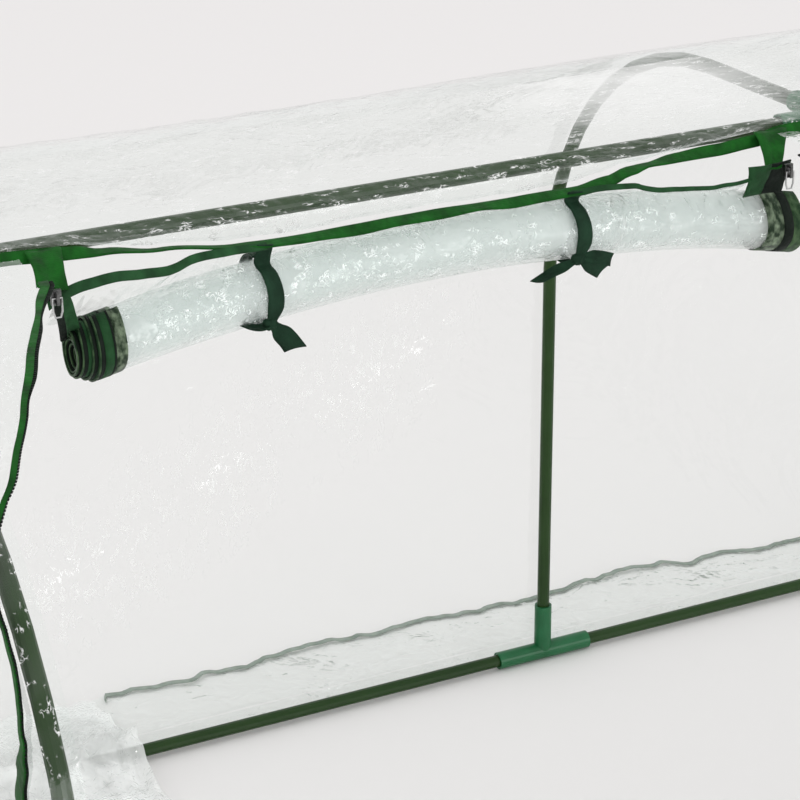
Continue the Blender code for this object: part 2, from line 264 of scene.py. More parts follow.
def film_paint(name, veil=0.015, patches=0.1, fold=1.0, crinkle=1.0, scale=1.0, tint=(0.975, 0.988, 0.981),
               milk_colour=(0.86, 0.9, 0.885), gloss=0.95, base=0.035, glints=None, haze=None, painted_glints=None):
    """Clear PVC film: see-through, with mirror-like creases and a faint milky veil.

    veil and patches say how milky it is all over and in clouds, fold and crinkle how deep its creases are,
    and scale how fine. gloss and base say how much it mirrors along and through its surface. glints are the
    two ends of a zone of sharper creases, and its half width. haze is a disc of scuffed film: the X and Y of
    its middle, and its radius. The last argument gives the white lines painted into the milky veil as glints
    of light, kept inside the glints zone when one is given: their scale, stretch and rarity.
    """
    paint = Paint(name)
    broken = paint.noise(34.0 * scale, 2.0, (1.0, 1.0, 0.55), 0.6)
    fine = paint.cells((120.0 if glints is None else 190.0) * scale, (1.0, 0.8, 0.55))
    normal = paint.bump(paint.noise(6.0 * scale, 4.0, distortion=1.0), 0.02 * fold)
    normal = paint.bump(paint.apart(broken, 0.5), 0.0075 * crinkle, 1.0, normal)
    if glints is None:
        normal = paint.bump(fine, 0.0009 * crinkle, 1.0, normal)
    else:
        near, zone = paint.zone(*glints)
        normal = paint.bump(paint.times(fine, zone), 0.0008, 1.0, normal)
        falling = paint.minus((glints[0][1] + glints[1][1]) / 2, paint.along("Z"))
        normal = paint.bump(paint.times(falling, near), 0.1, 1.0, normal)
        sharp = paint.apart(paint.noise(140.0, 2.0, (1.2, 1, 0.55), 0.8), 0.5)
        normal = paint.bump(paint.times(sharp, zone), 0.0013, 1.0, normal)
    facing = paint.node("ShaderNodeLayerWeight")
    facing.inputs["Blend"].default_value = 0.5
    paint.link(normal, facing.inputs["Normal"])
    grazing = paint.math("POWER", facing.outputs["Facing"], 3.3)
    mirror = paint.math("MULTIPLY_ADD", grazing, gloss, base, clamp=True)
    paint.set(Base_Color=(0.97, 0.98, 0.975, 1.0), Metallic=1.0, Roughness=0.06)
    paint.feed("Normal", normal)
    cloudy = paint.minus(paint.noise(5.0 * scale, 6.0, distortion=0.8), 0.45, clamp=True)
    veil_and_painted_glints = paint.math("MULTIPLY_ADD", cloudy, patches, veil, clamp=True)
    # Painted glints: white lines in the milky veil stand in for light glinting off the creases.
    if painted_glints is not None:
        lines = painted_glint_lines(paint, *painted_glints)
        veil_and_painted_glints = paint.math("ADD", veil_and_painted_glints, lines if glints is None else paint.times(lines, zone), clamp=True)
    if haze is not None:
        veil_and_painted_glints = paint.math("ADD", veil_and_painted_glints, scuffs(paint, *haze), clamp=True)
    body = paint.mixed(veil_and_painted_glints, paint.plain("ShaderNodeBsdfTransparent", tint),
                       paint.plain("ShaderNodeBsdfDiffuse", milk_colour))
    paint.link(paint.mixed(mirror, body, paint.shader.outputs[0]), paint.output.inputs["Surface"])
    return paint.material


WEAVE = 420.0


def woven_paint(name, dark, light, rough=0.62, spots=55.0, uneven=0.95):
    """Woven tape or ribbon: fine crossed ribs, soft rucks and uneven dye."""
    paint = Paint(name)
    weave = paint.times(paint.wave(WEAVE, "X", 1.5), paint.wave(WEAVE * 0.9, "Z", 1.5))
    drift = paint.math("MULTIPLY_ADD", paint.noise(spots, 5.0, (1.6, 1, 1)), uneven, 0.375 - 0.5 * uneven)
    paint.feed("Base Color", paint.ramp(paint.math("MULTIPLY_ADD", weave, 0.16, drift), dark, light, 0.2))
    normal = paint.bump(paint.noise(130.0, 4.0), 0.0016, 0.9)
    paint.feed("Normal", paint.bump(weave, 0.00008, 0.8, normal))
    paint.set(Roughness=rough, Sheen_Weight=0.02, Specular_IOR_Level=0.14)
    return paint.material


def metal_paint(name, dark, light):
    """Plated zip parts, lightly scratched."""
    paint = Paint(name)
    paint.feed("Roughness", paint.math("MULTIPLY_ADD", paint.noise(300.0, 3.0, (1, 1, 6)), 0.25, 0.2))
    paint.feed("Base Color", paint.ramp(paint.noise(150.0), (dark, dark, dark), (light, light, light)))
    paint.set(Metallic=1.0)
    return paint.material


def floor_paint():
    """Matt pale paper."""
    paint = Paint("floor_paper")
    paint.set(Base_Color=(0.905, 0.884, 0.885, 1.0), Roughness=0.9, Specular_IOR_Level=0.1)
    return paint.material


# The white lines given to film_wall, film_roof, film_corner and film_roll are painted glints of light.
PAINTS = {
    "tube": tube_paint(),
    "connector": connector_paint(),
    "film": film_paint("film_clear"),
    "film_wall": film_paint("film_wall", fold=0.6, crinkle=0.12, milk_colour=(0.97, 0.975, 0.97),
                            glints=((-0.59, 0.215), (-0.075, 0.465), 0.1),
                            painted_glints=(165.0, (1.2, 1.0, 0.6), 0.49)),
    "film_roof": film_paint("film_roof", 0.006, 0.05, 0.16, 0.55, milk_colour=(0.93, 0.93, 0.925), gloss=0.52,
                            base=0.015, haze=(-0.125, 0.155, 0.165), painted_glints=(230.0, (0.6, 1.5, 1.0), 0.57)),
    "film_shoulder": film_paint("film_shoulder", 0.03, 0.15, 0.16, 0.25),
    "film_corner": film_paint("film_corner", 0.0, 0.22, 0.5, 0.1, milk_colour=(0.93, 0.94, 0.935),
                              gloss=0.85, base=0.016, painted_glints=(330.0, (1.2, 1.0, 0.45), 0.6)),
    "film_end": film_paint("film_end", 0.01, 0.1, 0.45, 0.12, gloss=0.55, base=0.02),
    "film_roll": film_paint("film_roll", 0.24, 0.4, 0.7, 1.0, 1.6, (0.988, 0.998, 0.994), (0.95, 1.0, 0.985),
                            gloss=0.7, painted_glints=(230.0, (0.8, 1.0, 1.0), 0.6)),
    "film_flap": film_paint("film_flap", 0.6, 2.0, 1.0, 1.2, 2.2, milk_colour=(0.94, 0.95, 0.945),
                            gloss=0.7),
    "binding": woven_paint("binding_green", (0.002, 0.04, 0.003), (0.009, 0.15, 0.012)),
    "binding_dark": woven_paint("binding_dark_green", (0.008, 0.038, 0.012), (0.026, 0.11, 0.036)),
    # The rim paint's lighter, whiter, strongly mottled green is partly the binding's own green and partly
    # painted highlight: the bright lines along the roll ends' edges.
    "highlit_rim": woven_paint("binding_rim_painted_highlights", (0.012, 0.04, 0.014), (0.085, 0.15, 0.07), 0.45, 110.0, 1.9),
    "veiled": woven_paint("binding_under_film", (0.016, 0.034, 0.016), (0.23, 0.3, 0.2), 0.35, 130.0, 2.2),
    "hem": woven_paint("hem_grey_green", (0.2, 0.255, 0.21), (0.4, 0.455, 0.41)),
    "tape": woven_paint("zip_tape_black", (0.003, 0.006, 0.004), (0.014, 0.022, 0.016), 0.7),
    "tie": woven_paint("tie_green", (0.005, 0.02, 0.01), (0.016, 0.056, 0.028), 0.7),
    "slider": metal_paint("slider_gunmetal", 0.1, 0.2),
    "metal": metal_paint("pull_zinc", 0.5, 0.68),
    "floor": floor_paint(),
}

# ---- mesh helpers


def smooth_cad(node, paint, angle=40):
    """Give a CAD node its material and smooth shading."""
    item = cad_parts[node]
    item.data.materials.clear()
    item.data.materials.append(PAINTS[paint])
    item.data.polygons.foreach_set("use_smooth", [True] * len(item.data.polygons))
    item.data.set_sharp_from_angle(angle=math.radians(angle))


def add_object(name, data):
    """A new object in the scene."""
    item = bpy.data.objects.new(name, data)
    bpy.context.scene.collection.objects.link(item)
    return item


def object_from(name, bm, paint):
    """A new smooth-shaded object from a bmesh."""
    bmesh.ops.remove_doubles(bm, verts=bm.verts, dist=1e-6)
    mesh = bpy.data.meshes.new(name)
    bm.to_mesh(mesh)
    bm.free()
    mesh.polygons.foreach_set("use_smooth", [True] * len(mesh.polygons))
    mesh.materials.append(PAINTS[paint])
    return add_object(name, mesh)


def grid(name, rows, paint, thickness=None):
    """A surface through rows of points, all of one length, which may have a real thickness."""
    bm = bmesh.new()
    verts = [[bm.verts.new(point) for point in row] for row in rows]
    for upper, lower in zip(verts, verts[1:]):
        for corners in zip(upper, upper[1:], lower[1:], lower):
            bm.faces.new(corners)
    item = object_from(name, bm, paint)
    if thickness is not None:
        shell = item.modifiers.new("thickness", "SOLIDIFY")
        shell.thickness = thickness
        shell.offset = 0.0
    return item


def finish_piece(item, body, nodes=()):
    """Ride on a body and stand for CAD nodes."""
    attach(item, body)
    if nodes:
        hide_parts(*nodes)
    return item


def steps(start, end, count):
    """Evenly spaced values, both ends included."""
    return [start + (end - start) * index / count for index in range(count + 1)]


def noise_at(x, y, z):
    """Smooth fixed noise at a place, from about -1 to 1."""
    return noise.noise(Vector((x, y, z)))


def ease(value):
    """A smooth step from 0 to 1."""
    value = min(1.0, max(0.0, value))
    return value * value * (3 - 2 * value)


def between(points, x):
    """Piecewise-smooth value at x from (x, value) pairs in rising x."""
    if x <= points[0][0]:
        return points[0][1]
    for (low, first), (high, last) in zip(points, points[1:]):
        if x <= high:
            return first + (last - first) * ease((x - low) / (high - low))
    return points[-1][1]


def along_path(points, spacing):
    """Points along a smooth curve through the given ones (Catmull-Rom), about spacing apart."""
    points = [Vector(point) for point in points]
    padded = [2 * points[0] - points[1]] + points + [2 * points[-1] - points[-2]]
    found = []
    for before, start, end, after in zip(padded, padded[1:], padded[2:], padded[3:]):
        count = max(1, round((end - start).length / spacing))
        for index in range(count):
            t = index / count
            found.append(0.5 * (2 * start + (end - before) * t
                                + (2 * before - 5 * start + 4 * end - after) * t * t
                                + (3 * start - before - 3 * end + after) * t ** 3))
    return found + [points[-1]]


def ribbon(name, centres, acrosses, thickness, paint, strands=4):
    """A flat ribbon: each centre has the vector from its left edge to its right edge."""
    rows = [[centre + across * (index / strands - 0.5) for index in range(strands + 1)]
            for centre, across in zip(centres, acrosses)]
    return grid(name, rows, paint, thickness)


# ---- shape of the cover

ROOF_RUN = BEND_R * (1 - math.sin(ROOF_SLOPE))
ROOF_LENGTH = (HALF_WIDTH - ROOF_RUN) / math.cos(ROOF_SLOPE)
BEND_LENGTH = BEND_R * (math.pi / 2 - ROOF_SLOPE)
LEG_TOP = RIDGE_Z - (HALF_WIDTH - ROOF_RUN) * math.tan(ROOF_SLOPE) - BEND_R * math.cos(ROOF_SLOPE)
PROFILE_LENGTH = ROOF_LENGTH + BEND_LENGTH + LEG_TOP


def profile(along, offset):
    """Distance from the middle plane and height, at a length down the hoop, moved outwards by offset."""
    if along < ROOF_LENGTH:
        out = along * math.cos(ROOF_SLOPE) + offset * math.sin(ROOF_SLOPE)
        return out, RIDGE_Z - along * math.sin(ROOF_SLOPE) + offset * math.cos(ROOF_SLOPE)
    if along < ROOF_LENGTH + BEND_LENGTH:
        turn = math.pi / 2 - ROOF_SLOPE - (along - ROOF_LENGTH) / BEND_R
        reach = BEND_R + offset
        return HALF_WIDTH - BEND_R + reach * math.cos(turn), LEG_TOP + reach * math.sin(turn)
    return HALF_WIDTH + offset, LEG_TOP - (along - ROOF_LENGTH - BEND_LENGTH)


def normal_at(along):
    """Outward normal of the front cover at a length down the hoop."""
    near, far = profile(along, 0.0), profile(along, 1.0)
    return Vector((0, near[0] - far[0], far[1] - near[1]))


def slack(x):
    """0 on a hoop, 1 in the middle of a bay."""
    return math.sin(math.pi * min(1.0, abs(x) / HALF_LENGTH)) ** 2


def crease(x, along, seed):
    """Creased film height from about -1 to 1: broad folds with sharper ridges on them."""
    broad = noise_at(x * 5.5, along * 4.0, seed)
    ridges = 1 - 2 * abs(noise_at(x * 16 + 2 * broad, along * 10, seed + 3.1))
    small = noise_at(x * 60, along * 42, seed + 7.7)
    return 0.55 * broad + 0.45 * (ridges - 0.5) + 0.1 * small


# Header band: distance from the middle plane, Y and Z of its centre line, and its lean from flat, in degrees.
HEADER = [(0.000, -0.0405, 0.7945, 50), (0.082, -0.0405, 0.794, 55), (0.113, -0.042, 0.79, 58),
          (0.152, -0.0435, 0.7878, 50), (0.193, -0.046, 0.788, 25), (0.22, -0.048, 0.787, -2),
          (0.24, -0.051, 0.7852, 22), (0.262, -0.053, 0.78, 30), (0.292, -0.0545, 0.7768, 18),
          (0.32, -0.055, 0.7768, 26), (0.348, -0.055, 0.7766, 32), (0.385, -0.055, 0.778, 12),
          (0.42, -0.055, 0.7776, 30), (0.455, -0.055, 0.777, 24), (0.49, -0.055, 0.776, 34),
          (0.53, -0.055, 0.7764, 18), (0.567, -0.055, 0.7768, 12), (0.59, -0.054, 0.7785, -4),
          (0.654, -0.05, 0.785, -8), (0.698, -0.046, 0.7892, 6), (0.722, -0.043, 0.7915, 46),
          (0.745, -0.0415, 0.793, 58), (0.775, -0.0405, 0.7945, 52), (0.91, -0.0405, 0.7945, 48)]


def header_line(x):
    """Centre of the header band at an X, and its lean in radians."""
    wobble = 0.0012 * noise_at(x * 21, 3.3, 0)
    y, z, lean = (between([(row[0], row[column]) for row in HEADER], abs(x)) for column in (1, 2, 3))
    return Vector((x, y - wobble, z + wobble)), math.radians(lean + 500 * wobble)


def header_back(x):
    """Back edge of the header band."""
    centre, lean = header_line(x)
    return centre + Vector((0, math.cos(lean), math.sin(lean))) * 0.005


def cover_point(x, along, side, seed, slackness=1.0):
    """A point of the cover's film, creased and slack between the hoops."""
    loose = 0.25 + 0.75 * slack(x)
    height = slackness * loose * 0.0045 * crease(x, along * side, seed)
    sink = slackness * 0.006 * slack(x) * math.sin(math.pi * min(1.0, along / PROFILE_LENGTH))
    out, up = profile(along, FILM_OFFSET + height - sink)
    point = Vector((x, side * out, up))
    if side < 0 and along < HEADER_S:
        out, up = profile(HEADER_S, FILM_OFFSET)
        point += (header_back(x) - Vector((x, -out, up))) * (along / HEADER_S)
    return point


# ---- frame pieces


def dress_frame():
    """Materials of the tubes and the connectors."""
    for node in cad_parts:
        if node.startswith(("hoop", "ridge_rail", "base_rail")):
            smooth_cad(node, "tube")
        elif node.startswith(("corner", "base_tee", "ridge_tee", "ridge_cross")):
            smooth_cad(node, "connector")
        elif node.startswith(("zip_slider", "zip_pull")):
            smooth_cad(node, "slider" if "slider" in node else "metal", 30)


# ---- film panels

CELL = 0.009


def film_panel(name, node, rows, paint):
    """One film sheet that stands for its CAD node."""
    item = grid(name, rows, paint)
    finish_piece(item, "cover", [node])
    return item


def full_rows(marks, side):
    """Rows of a strip that spans the whole length, at lengths down the front (-1) or the back (1)."""
    xs = steps(-FILM_EDGE, FILM_EDGE, round(2 * FILM_EDGE / CELL))
    return [[cover_point(x, mark, side, 1.0) for x in xs] for mark in marks]


def build_back():
    """Roof, back shoulder and back wall: one run of film from the header to the ground."""
    rows = full_rows(steps(0.0, HEADER_S, 7), -1)[::-1] + full_rows(steps(0.006, ROOF_LENGTH, 26), 1)
    film_panel("film_roof", "cover_roof", rows, "film_roof")
    rows = full_rows(steps(ROOF_LENGTH, ROOF_LENGTH + BEND_LENGTH, 50), 1)
    film_panel("film_back_shoulder", "cover_back_shoulder", rows, "film_shoulder")
    foot = PROFILE_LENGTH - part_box("cover_back_wall")[0].z
    rows = full_rows(steps(ROOF_LENGTH + BEND_LENGTH, foot, 50), 1)
    film_panel("film_back_wall", "cover_back_wall", rows, "film_wall")


# How far out the ground strips' loose edge lies, as Y at an X.
HEM_Y = [(-0.9, 0.622), (-0.56, 0.627), (-0.482, 0.632), (-0.369, 0.626), (-0.241, 0.632), (-0.113, 0.629),
         (0.074, 0.623), (0.167, 0.636), (0.3, 0.62), (0.44, 0.606), (0.62, 0.618), (0.9, 0.612)]
HEM_START = -0.487


def ground_rows(side, top, seed):
    """A strip that drops from top to the ground and lies outwards on it, with a wavy loose edge."""
    wall = HALF_WIDTH + FILM_OFFSET
    drops = steps(top, 0.006, max(2, round(top / CELL)))
    xs = steps(-FILM_EDGE, FILM_EDGE, round(2 * FILM_EDGE / 0.006))
    rows = [[Vector((x, side * wall, z)) for x in xs] for z in drops]
    for out in steps(0.03, 1.0, 16):
        row = []
        for x in xs:
            wave = crease(x * 1.6, out * 0.3, seed)
            lift = 0.0014 + 0.007 * max(0.0, wave) * out
            kink = 0.0095 * noise_at(x * 21, seed, 0.5)
            kink += 0.006 * noise_at(x * 58, seed, 4.5)
            reach = between(HEM_Y, side * x) - wall
            row.append(Vector((x, side * (wall + reach * out + kink * out), lift)))
        rows.append(row)
    return rows


def build_ground():
    """Back skirt and front sill with their bound edges."""
    for side, name, node, top in ((1, "film_skirt_back", "skirt_back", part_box("skirt_back")[1].z),
                                  (-1, "film_front_sill", "cover_front_sill", SILL_TOP)):
        rows = ground_rows(side, top, 11.0 + side)
        film_panel(name, node, rows, "film")
        edge = [point + Vector((0, 0, 0.001)) for point in rows[-1]]
        if side > 0:
            edge = [point for point in edge if point.x > HEM_START]
            hook = [Vector((-0.006, -0.014, 0.001)), Vector((-0.003, -0.006, 0.001))]
            edge = [edge[0] + step for step in hook] + edge
        band = ribbon(f"hem_{name}", edge, [Vector((0, HEM_WIDTH, 0))] * len(edge), 0.0014, "hem", 2)
        finish_piece(band, "cover")


# Centre line of an outer zip: length down the roof, and distance from the middle plane.
STRINGER = [(0.0, 0.757), (0.109, 0.768), (0.285, 0.845), (0.35, 0.879), (0.42, 0.8945), (9.0, 0.8945)]


def stringer_x(mark):
    """Distance from the middle plane of an outer zip's centre line, at a length down the roof."""
    for (low, start), (high, end) in zip(STRINGER, STRINGER[1:]):
        if mark <= high:
            return start + (end - start) * (mark - low) / (high - low)
    return STRINGER[-1][1]


ZIP_START = 0.0473
ZIP_LOOSE = 0.1
SILL_MARK = PROFILE_LENGTH - SILL_TOP
INNER_X = 0.1
HALF_TAPE = 0.008


def build_front():
    """Column between the doors and the two top corner panels."""
    length = SILL_MARK - ZIP_START
    column = INNER_X - HALF_TAPE
    rows = [[cover_point(x, mark, -1, 2.0) for x in steps(-column, column, 22)]
            for mark in steps(ZIP_START, SILL_MARK, round(length / CELL))]
    film_panel("film_middle_column", "cover_middle_column", rows, "film")
    for end, sign in SIDES:
        rows = []
        for mark in steps(ZIP_START, SILL_MARK, 120):
            inner = min(stringer_x(mark) + 0.003, 0.8805)
            rows.append([cover_point(sign * x, mark, -1, 3.0 + sign) for x in steps(inner, FILM_EDGE, 16)])
        film_panel(f"film_corner_{end}", f"cover_corner_{end}", rows, "film_corner")


def build_ends():
    """End panels, each a creased sheet cut to the hoop's outline, and their spare film on the ground."""
    for end, sign in SIDES:
        rows = []
        for mark in steps(0.0, PROFILE_LENGTH - 0.004, 90):
            out, height = profile(mark, FILM_OFFSET - 0.0007)
            row = []
            for share in steps(-1, 1, 70):
                y = out * share
                free = (1 - abs(share) ** 6) * math.sin(math.pi * min(1.0, height / RIDGE_Z))
                bulge = (0.005 + 0.0036 * crease(y, height, 20.0 + sign)) * free
                row.append(Vector((sign * (END_X + bulge), y, height)))
            rows.append(row)
        film_panel(f"film_end_{end}", f"cover_end_{end}", rows, "film_end")
        build_flap(end, sign)


def build_flap(end, sign):
    """Spare film of an end panel, crumpled on the ground and over the back rail."""
    low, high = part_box(f"end_flap_{end}")
    rows = []
    for y in steps(low.y, high.y, 230):
        rail = 0.019 * math.exp(-((y - HALF_WIDTH) / 0.03) ** 2)
        bunch = 0.01 + 0.016 * math.exp(-((y - HALF_WIDTH) / 0.07) ** 2)
        row = []
        for share in steps(0, 1, 84):
            x = low.x + (high.x - low.x) * share
            inward = share if sign < 0 else 1 - share
            foot = 0.012 * (1 - ease(inward / 0.12))
            wrinkle = bunch * max(0.0, 0.4 + crease(x * 2.2, y * 2.4, 31.0 + sign))
            wrinkle += 0.22 * bunch * (1 - 2 * abs(noise_at(x * 55, y * 48, 3.0)))
            sway = 0.012 * crease(0.3, y * 1.4, 41.0) * (inward ** 2)
            row.append(Vector((x + sign * sway, y, 0.0022 + max(rail, foot) + wrinkle)))
        rows.append(row)
    film_panel(f"film_end_flap_{end}", f"end_flap_{end}", rows, "film_flap")


# ---- header, zips and patches

# Bound top edge of each door, from its zips to its ties, and its width at both ends.
DOOR_TOP = {
    "outer": [(0.753, -0.0718, 0.765), (0.742, -0.0713, 0.77), (0.731, -0.0705, 0.7735),
              (0.705, -0.0695, 0.7762), (0.688, -0.069, 0.7765), (0.652, -0.067, 0.774),
              (0.631, -0.065, 0.779), (0.59, -0.061, 0.7782), (0.57, -0.0585, 0.7765)],
    "inner": [(0.132, -0.07, 0.767), (0.165, -0.069, 0.7652), (0.204, -0.068, 0.7685),
              (0.2335, -0.067, 0.7738), (0.243, -0.066, 0.777), (0.264, -0.063, 0.7785),
              (0.28, -0.06, 0.7775), (0.298, -0.0575, 0.7762)],
}
DOOR_TOP_WIDTH = {"outer": (0.009, 0.006), "inner": (0.003, 0.0055)}


def build_header():
    """The sewn band above the doors, which waves and twists, and the bound top edges of the doors."""
    lines = [header_line(x) for x in steps(-FILM_EDGE, FILM_EDGE, 300)]
    acrosses = [Vector((0, -math.cos(lean), -math.sin(lean))) * HEADER_WIDTH for _, lean in lines]
    band = ribbon("header_band_sewn", [centre for centre, _ in lines], acrosses, 0.0012, "binding")
    finish_piece(band, "cover", ["header_band"])
    for end, sign in SIDES:
        for kind, rows in DOOR_TOP.items():
            path = along_path([(sign * x, y, z) for x, y, z in rows], 0.004)
            for point in path:
                point.z += 0.001 * noise.noise(point * 70)
            widths = steps(*DOOR_TOP_WIDTH[kind], len(path) - 1)
            acrosses = [Vector((0, -0.55, -0.83)) * width for width in widths]
            strip = ribbon(f"door_top_{end}_{kind}", path, acrosses, 0.0011, "binding_dark")
            finish_piece(strip, "cover")


def hang_back(mark):
    """How far an outer zip's loose edge hangs back from the front outline, beside the corner hoop."""
    return between([(0.45, -0.002), (0.48, 0.009), (0.5, 0.022), (0.515, 0.036), (0.54, 0.056),
                    (0.6, 0.06), (0.74, 0.03), (0.95, 0.006), (SILL_MARK, 0.002)], mark)


def zip_point(sign, kind, mark, lift, shift):
    """A point of a zip; lift is off the film, shift goes sideways, away from the middle plane."""
    normal = normal_at(mark)
    if kind == "inner":
        return cover_point(sign * (INNER_X + shift), mark, -1, 5.0, 0.4) + normal * lift
    wander = 0.0024 * noise_at(mark * 26, sign * 3.0, 8.5)
    flat = cover_point(sign * (stringer_x(mark) + shift + wander), mark, -1, 5.0, 0.4) + normal * lift
    turn = ease((mark - 0.333) / 0.084)  # 0 on the front, 1 where it has turned round the corner hoop
    if turn == 0:
        return flat
    sway = 0.0016 * noise_at(mark * 40, sign, 1.5)
    place = cover_point(sign * END_X, mark, -1, 5.0, 0.0) - normal * (hang_back(mark) + 0.006 + shift)
    place.x = sign * (END_X + 0.001 + lift + abs(sway))
    return flat.lerp(place, turn)


def tuck(kind, mark):
    """How wide a zip lies: the loose outer ones are gathered, and narrowest near the corner hoop."""
    if kind == "inner":
        return 1.0
    return between([(0.12, 0.85), (0.16, 0.5), (0.185, 0.66), (0.245, 0.7), (0.275, 0.52), (0.4, 0.55),
                    (0.47, 0.9), (0.496, 0.85), (0.514, 2.3), (0.55, 2.3), (0.6, 1.2), (SILL_MARK, 1.0)],
                   mark)


def toothed_edge(kind, mark):
    """Sideways shift of a zip tape's toothed edge, which is partly folded under the binding."""
    shown = 1.0
    if kind == "outer":
        shown = between([(0.12, 1.0), (0.16, 0.35), (0.185, 0.9), (0.245, 0.9), (0.275, 0.42), (0.45, 0.35),
                         (0.62, 0.35), (0.8, 1.0), (SILL_MARK, 1.0)], mark)
    return -AWAY[kind] * (0.0042 + 0.0038 * shown)


def zip_ribbon(name, sign, kind, marks, lift, lows, high, thickness, paint):
    """A ribbon down a zip, from a sideways shift at each mark to one that is the same all along."""
    rows = [[zip_point(sign, kind, mark, lift, (low + (high - low) * share) * tuck(kind, mark))
             for share in steps(0, 1, 4)] for mark, low in zip(marks, lows)]
    return grid(name, rows, paint, thickness)


TOOTH_PITCH = 0.0024
TOOTH_SIZE = Matrix.Diagonal((0.0028, 0.0013, 0.0015, 1.0))


def teeth(name, line, beside):
    """A coil zip's teeth: one small block at each point of a line, turned towards the line beside it."""
    bm = bmesh.new()
    for here, following, far in zip(line, line[1:], beside):
        across = (far - here).normalized()
        run = (following - here).normalized()
        turn = Matrix((across, run, across.cross(run).normalized())).transposed().to_4x4()
        bmesh.ops.create_cube(bm, size=1.0, matrix=Matrix.Translation(here) @ turn @ TOOTH_SIZE)
    item = object_from(name, bm, "tape")
    item.data.polygons.foreach_set("use_smooth", [False] * len(item.data.polygons))
    finish_piece(item, "cover")


def build_zips():
    """Each fixed zip: a black tape, its green bound edge and its teeth."""
    marks = steps(ZIP_LOOSE, SILL_MARK, 220)
    fine = steps(ZIP_LOOSE + 0.002, SILL_MARK, round((SILL_MARK - ZIP_LOOSE) / TOOTH_PITCH))
    for end, sign in SIDES:
        for kind, away in AWAY.items():
            node = f"zip_tape_{end}_{kind}"
            lows = [toothed_edge(kind, mark) for mark in marks]
            tape = zip_ribbon(f"{node}_cloth", sign, kind, marks, 0.0004, lows, 0.002 * away, 0.0008, "tape")
            finish_piece(tape, "cover", [node])
            lows = [-0.005 * away] * len(marks)
            edge = zip_ribbon(f"{node}_binding", sign, kind, marks, 0.0016, lows, 0.0038 * away, 0.001,
                              "binding")
            finish_piece(edge, "cover")
            line = []
            for mark in fine:
                shift = (toothed_edge(kind, mark) + 0.0006 * away) * tuck(kind, mark)
                line.append(zip_point(sign, kind, mark, 0.001, shift))
            teeth(f"{node}_teeth", line, [zip_point(sign, kind, mark, 0.0014, 0.0) for mark in fine])


def strip_x(top, foot, across, down):
    """X between a strip's two edges (across) and between its top and its foot (down)."""
    at_top = top[0] + (top[1] - top[0]) * across
    return at_top * (1 - down) + (foot[0] + (foot[1] - foot[0]) * across) * down


# Top and bottom edge of each patch, as distances from the middle plane.
PATCH = {"outer": ((0.73, 0.758), (0.7365, 0.761)), "inner": ((0.079, 0.112), (0.104, 0.1195))}


def build_patches():
    """Doubled cloth patches where the zips start, hanging from the header band."""
    for end, sign in SIDES:
        for kind, (top, foot) in PATCH.items():
            node = f"zip_patch_{end}_{kind}"
            rows = []
            for down in steps(0, 1, 16):
                row = []
                for share in steps(0, 1, 12):
                    pinch = 0.5 + (share - 0.5) * (1 - 0.1 * math.sin(math.pi * down))
                    x = strip_x(top, foot, pinch, down)
                    ruck = noise_at(x * 90, down * 3.1, sign * 2.0)
                    fold = 0.0016 * math.sin(share * 9 + down * 2)
                    drop = 0.0225 if kind == "inner" else 0.0225 - 0.0075 * share
                    point = Vector((sign * x, -0.0405 - 0.0325 * down ** 0.8, 0.7965 - drop * down))
                    row.append(point + Vector((0, -0.5, 0.8)) * (0.6 * fold + 0.0014 * ruck))
                rows.append(row)
            cloth = grid(f"{node}_cloth", rows, "binding", 0.0014)
            finish_piece(cloth, "cover", [node])


# ---- rolled doors and ties


def roll_height(x):
    """Height of a roll's axis at an X; beyond its ends the height stays."""
    place = min(max(abs(x), DOOR_X - ROLL_HALF), DOOR_X + ROLL_HALF)
    return ROLL_TOP_Z - ROLL_DROOP * ((place - DOOR_X) / ROLL_HALF) ** 2


ROLL_TURNS = 7.4
ROLL_START = math.radians(75)
ROLL_OUTER_R = ROLL_R - 0.001
ROLL_CORE_R = 0.004
PER_TURN = 34
TELESCOPE = 0.0165  # how far the inner turns stand out of a roll's end


def roll_point(share, turn, sign, seed, lift, inset):
    """A point of the wound film: share from -1 to 1 away from the middle, turn counted from outside."""
    inner = turn / ROLL_TURNS
    slip = TELESCOPE * between([(0.0, 0.0), (0.4, 1.0), (0.6, 0.95), (1.0, 0.55)], inner)
    slip += 0.0024 * noise_at(turn * 1.3, seed, 0.4)
    slip *= 0.5 + 0.5 * share
    x = DOOR_X + share * ROLL_HALF + slip - math.copysign(inset, share)
    radius = ROLL_OUTER_R - (ROLL_OUTER_R - ROLL_CORE_R) * inner + lift
    wobble = noise_at(x * 9, turn * 1.7, seed)
    radius += 0.0013 * wobble * (1 - 0.5 * inner)
    angle = ROLL_START - turn * 2 * math.pi
    squash = 1 + 0.05 * math.cos(2 * angle + 0.5)
    sag = 0.0055 * inner * abs(share) ** 8
    return Vector((sign * x, ROLL_Y - radius * squash * math.cos(angle),
                   roll_height(x) + radius * math.sin(angle) / squash - sag))


def spiral_rows(places, sign, seed, lift=0.0):
    """Rows along a roll's winding, at places given as a share of the roll and an inset from its end."""
    return [[roll_point(share, turn, sign, seed, lift, inset) for share, inset in places]
            for turn in steps(0.0, ROLL_TURNS, round(ROLL_TURNS * PER_TURN))]


